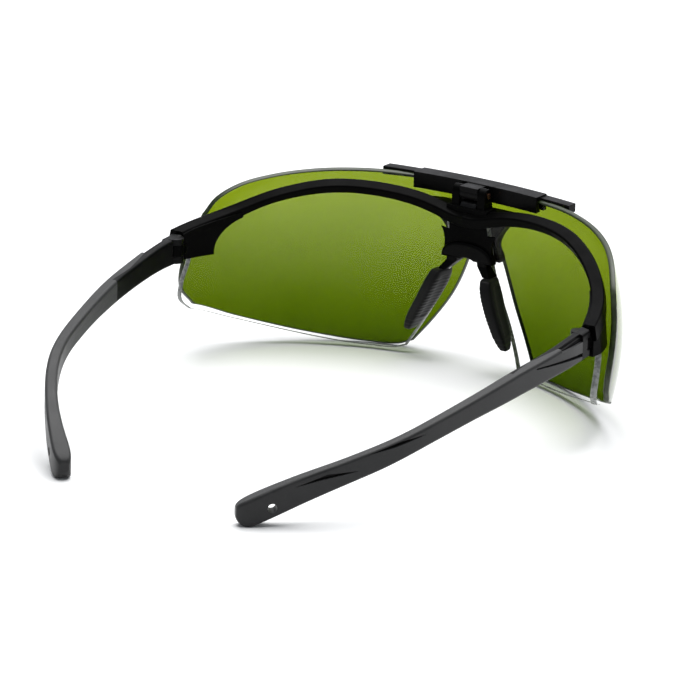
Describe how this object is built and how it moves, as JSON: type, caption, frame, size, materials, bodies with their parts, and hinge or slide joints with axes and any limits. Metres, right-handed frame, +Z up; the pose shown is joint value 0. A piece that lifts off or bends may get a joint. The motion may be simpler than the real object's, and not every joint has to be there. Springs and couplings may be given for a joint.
{
  "type": "flip-up welding glasses",
  "caption": "Black half-frame safety glasses with clear wraparound lenses and a green welding shade that flips up on a centre hinge over the nose.",
  "frame": {"origin": "middle of the bounding box in X and Y, on the bottom plane", "axes": "+X towards the wearer's left, -Y forwards through the lenses, +Z up; temples open, shade down"},
  "size_m": [0.1454, 0.1631, 0.0529],
  "materials": {
    "frame_black": "matte black nylon, finely textured",
    "clear_polycarbonate": "clear, polished",
    "green_shade": "green welding shade, polished, light mirror coat",
    "sleeve_rubber": "dark grey soft rubber",
    "pad_rubber": "black soft rubber, ribbed",
    "pin_copper": "copper-plated, satin",
    "steel": "bright"
  },
  "bodies": {
    "front": {"front_frame": "frame_black", "clear_lens_left": "clear_polycarbonate", "clear_lens_right": "clear_polycarbonate", "nose_bridge": "frame_black", "nose_pad_left": "pad_rubber", "nose_pad_right": "pad_rubber", "nose_wire_left": "steel", "nose_wire_right": "steel", "flip_bracket": "frame_black", "flip_hinge_pin": "pin_copper", "flip_detent_spring": "steel", "hinge_screw_left": "steel", "hinge_screw_right": "steel"},
    "shade": {"flip_bar": "frame_black", "shade_lens_left": "green_shade", "shade_lens_right": "green_shade", "shade_studs": "frame_black"},
    "temple_l": {"temple_left": "frame_black", "temple_sleeve_left": "sleeve_rubber"},
    "temple_r": {"temple_right": "frame_black", "temple_sleeve_right": "sleeve_rubber"}
  },
  "joints": [
    {"name": "shade_flip", "type": "hinge", "parent": "front", "child": "shade", "pos_m": [0, -0.0718, 0.0506], "axis": [-1, 0, 0], "range_deg": [0, 90]},
    {"name": "temple_left_fold", "type": "hinge", "parent": "front", "child": "temple_l", "pos_m": [0.0676, -0.0231, 0.0324], "axis": [0, 0, 1], "range_deg": [-11.2, 80]},
    {"name": "temple_right_fold", "type": "hinge", "parent": "front", "child": "temple_r", "pos_m": [-0.0676, -0.0231, 0.0324], "axis": [0, 0, -1], "range_deg": [-11.2, 64]}
  ]
}
